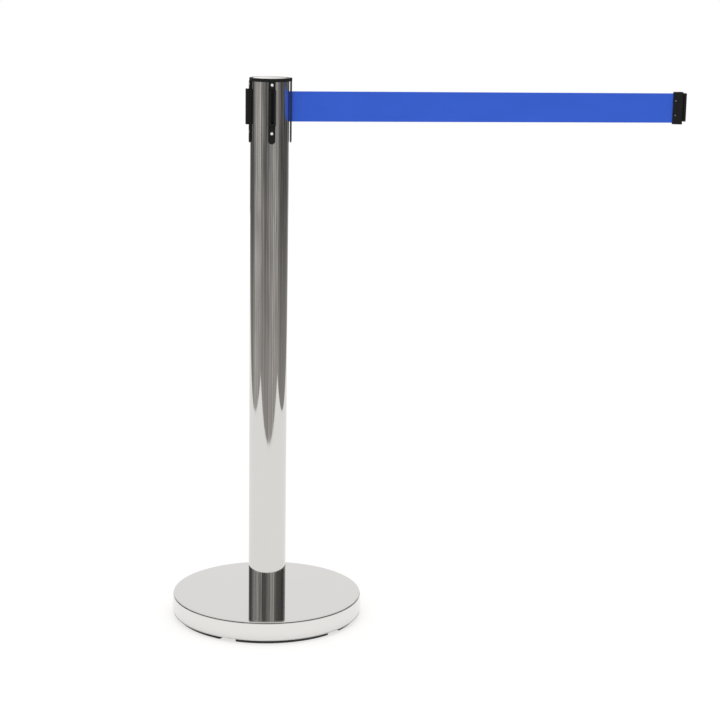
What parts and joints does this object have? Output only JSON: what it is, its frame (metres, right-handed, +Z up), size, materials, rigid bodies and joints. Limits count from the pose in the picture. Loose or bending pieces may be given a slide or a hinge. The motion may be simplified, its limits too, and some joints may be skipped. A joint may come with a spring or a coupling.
{
  "type": "retractable belt stanchion",
  "caption": "Free-standing crowd-control post: weighted round base, polished steel tube, and a black head whose cassette winds in a blue webbing belt with an end clip.",
  "frame": {"origin": "centre of the base on the floor", "axes": "+Z up the post; the belt leaves towards +X; the front receiver faces -Y"},
  "size_m": [0.8615, 0.322, 0.91],
  "materials": {
    "mat_rubber": "moulded, matt",
    "base_steel": "spun stainless steel, mirror polished",
    "cast_iron": "rough cast, painted",
    "zinc_steel": "zinc plated",
    "post_steel": "drawn stainless tube, mirror polished",
    "head_plastic": "moulded ABS, fine texture",
    "guard_steel": "black powder coat",
    "rivet_chrome": "bright plated",
    "cassette_plastic": "moulded nylon",
    "spring_steel": "blued spring steel",
    "reel_plastic": "moulded acetal, natural",
    "brass_bush": "turned, plain",
    "belt_webbing": "woven polyester webbing, blue",
    "clip_plastic": "moulded ABS, fine texture"
  },
  "bodies": {
    "stand": {"floor_mat": "mat_rubber", "base_weight": "cast_iron", "base_cover": "base_steel", "clamp_bolt": "zinc_steel", "bolt_washer": "zinc_steel", "lock_washer": "zinc_steel", "post_tube": "post_steel", "foot_boss": "zinc_steel", "head_cap": "head_plastic", "cap_disc": "base_steel", "front_receiver": "head_plastic", "left_receiver": "head_plastic", "back_receiver": "head_plastic", "outlet_guard": "guard_steel", "head_rivets": "rivet_chrome", "cassette_top": "cassette_plastic", "cassette_bottom": "cassette_plastic", "cassette_shell": "cassette_plastic", "cassette_pillars": "cassette_plastic", "cassette_screws": "zinc_steel", "spring_drum": "cassette_plastic", "spring_cover": "cassette_plastic", "power_spring": "spring_steel", "lower_bush": "brass_bush", "upper_bush": "brass_bush", "guide_pins": "zinc_steel", "belt_lead": "belt_webbing"},
    "winding_reel": {"spindle": "zinc_steel", "reel": "reel_plastic", "reel_flange": "reel_plastic", "spring_arbor": "zinc_steel", "belt_roll": "belt_webbing", "spindle_clip": "spring_steel"},
    "near_guide": {"near_roller": "reel_plastic"},
    "far_guide": {"far_roller": "reel_plastic"},
    "belt_end": {"belt_span": "belt_webbing", "clip_front_shell": "clip_plastic", "clip_rear_shell": "clip_plastic", "clip_tongue": "clip_plastic", "belt_anchor": "zinc_steel", "clip_rivets": "zinc_steel"}
  },
  "joints": [
    {"name": "belt_pull", "type": "slide", "parent": "stand", "child": "belt_end", "axis": [1, 0, 0], "range_m": [-0.64, 1.36], "deforming": ["belt_span"]},
    {"name": "reel_spin", "type": "hinge", "parent": "stand", "child": "winding_reel", "pos_m": [0, 0, 0.8637], "axis": [0, 0, 1], "range_deg": [-5450, 2650]},
    {"name": "near_guide_spin", "type": "hinge", "parent": "stand", "child": "near_guide", "pos_m": [0.0272, -0.00275, 0.8637], "axis": [0, 0, 1], "range_deg": [-20000, 40000]},
    {"name": "far_guide_spin", "type": "hinge", "parent": "stand", "child": "far_guide", "pos_m": [0.0272, 0.00275, 0.8637], "axis": [0, 0, 1], "range_deg": [-40000, 20000]}
  ],
  "couplings": [
    {"joint": "reel_spin", "follows": "belt_pull", "rad_per_m": -69.1},
    {"joint": "near_guide_spin", "follows": "belt_pull", "rad_per_m": 454.5},
    {"joint": "far_guide_spin", "follows": "belt_pull", "rad_per_m": -454.5}
  ]
}
